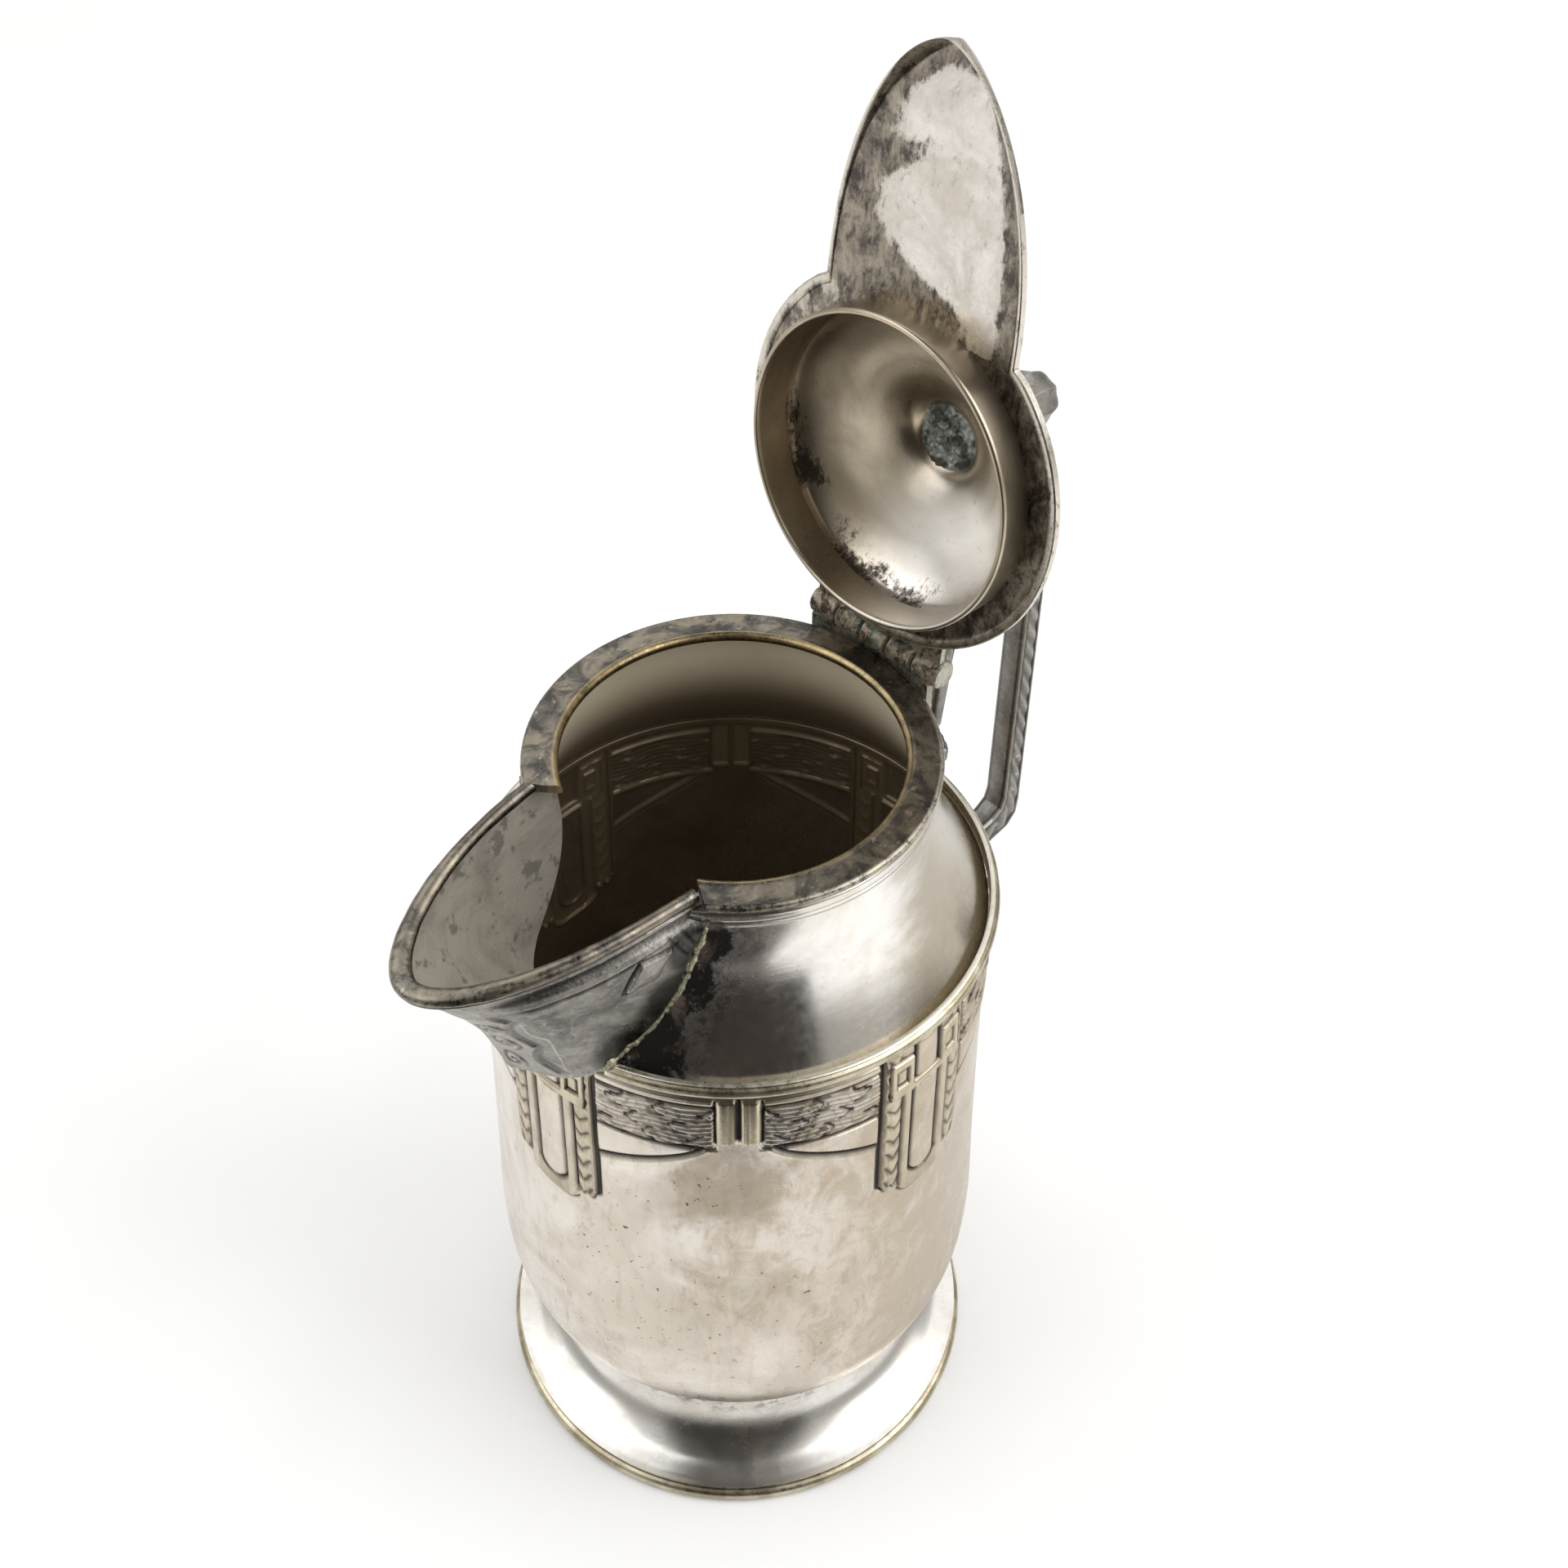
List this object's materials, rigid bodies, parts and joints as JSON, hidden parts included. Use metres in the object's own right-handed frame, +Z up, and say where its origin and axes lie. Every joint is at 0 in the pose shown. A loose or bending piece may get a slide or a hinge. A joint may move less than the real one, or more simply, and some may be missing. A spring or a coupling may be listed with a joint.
{
  "type": "cream jug",
  "caption": "Footed silver-plated cream jug with a cast spout, an angular bar handle and a hinged domed lid that covers the spout.",
  "frame": {"origin": "under the middle of the whole jug with its lid open, on the surface the jug stands on; the jug's axis of revolution is at x = -0.0036", "axes": "+Z up, -X towards the spout, +X towards the handle, +Y along the hinge axis"},
  "size_m": [0.1104, 0.072, 0.204],
  "materials": {
    "body_cup": "satin silver plate, stained",
    "shoulder_dome": "polished silver plate",
    "shoulder_bead": "brass showing through worn plate",
    "rim_ring": "tarnished silver plate",
    "foot_flare": "polished silver plate",
    "foot_edge_wire": "brass showing through worn plate",
    "spout": "oxidised cast white metal",
    "spout_lip_wire": "oxidised cast white metal",
    "handle": "oxidised cast white metal",
    "handle_bud": "oxidised cast white metal",
    "handle_lower_leaf": "oxidised cast white metal",
    "hinge_body_leaf": "dirty brass",
    "hinge_pin": "worn steel wire",
    "lid_plate": "tarnished silver plate",
    "lid_bezel": "satin silver plate",
    "lid_dome": "satin silver plate",
    "knob_rivet": "dark solder",
    "lid_knob": "oxidised cast white metal",
    "hinge_lid_leaf": "dirty brass"
  },
  "bodies": {
    "jug": {"body_cup": "body_cup", "shoulder_dome": "shoulder_dome", "shoulder_bead": "shoulder_bead", "rim_ring": "rim_ring", "foot_flare": "foot_flare", "foot_edge_wire": "foot_edge_wire", "spout": "spout", "spout_lip_wire": "spout_lip_wire", "handle": "handle", "handle_bud": "handle_bud", "handle_lower_leaf": "handle_lower_leaf", "hinge_body_leaf": "hinge_body_leaf", "hinge_pin": "hinge_pin"},
    "lid": {"lid_plate": "lid_plate", "lid_bezel": "lid_bezel", "lid_dome": "lid_dome", "knob_rivet": "knob_rivet", "lid_knob": "lid_knob", "hinge_lid_leaf": "hinge_lid_leaf"}
  },
  "joints": [
    {"name": "lid_hinge", "type": "hinge", "parent": "jug", "child": "lid", "pos_m": [0.0227, 0, 0.1265], "axis": [0, 1, 0], "range_deg": [-96.7, 0]}
  ]
}
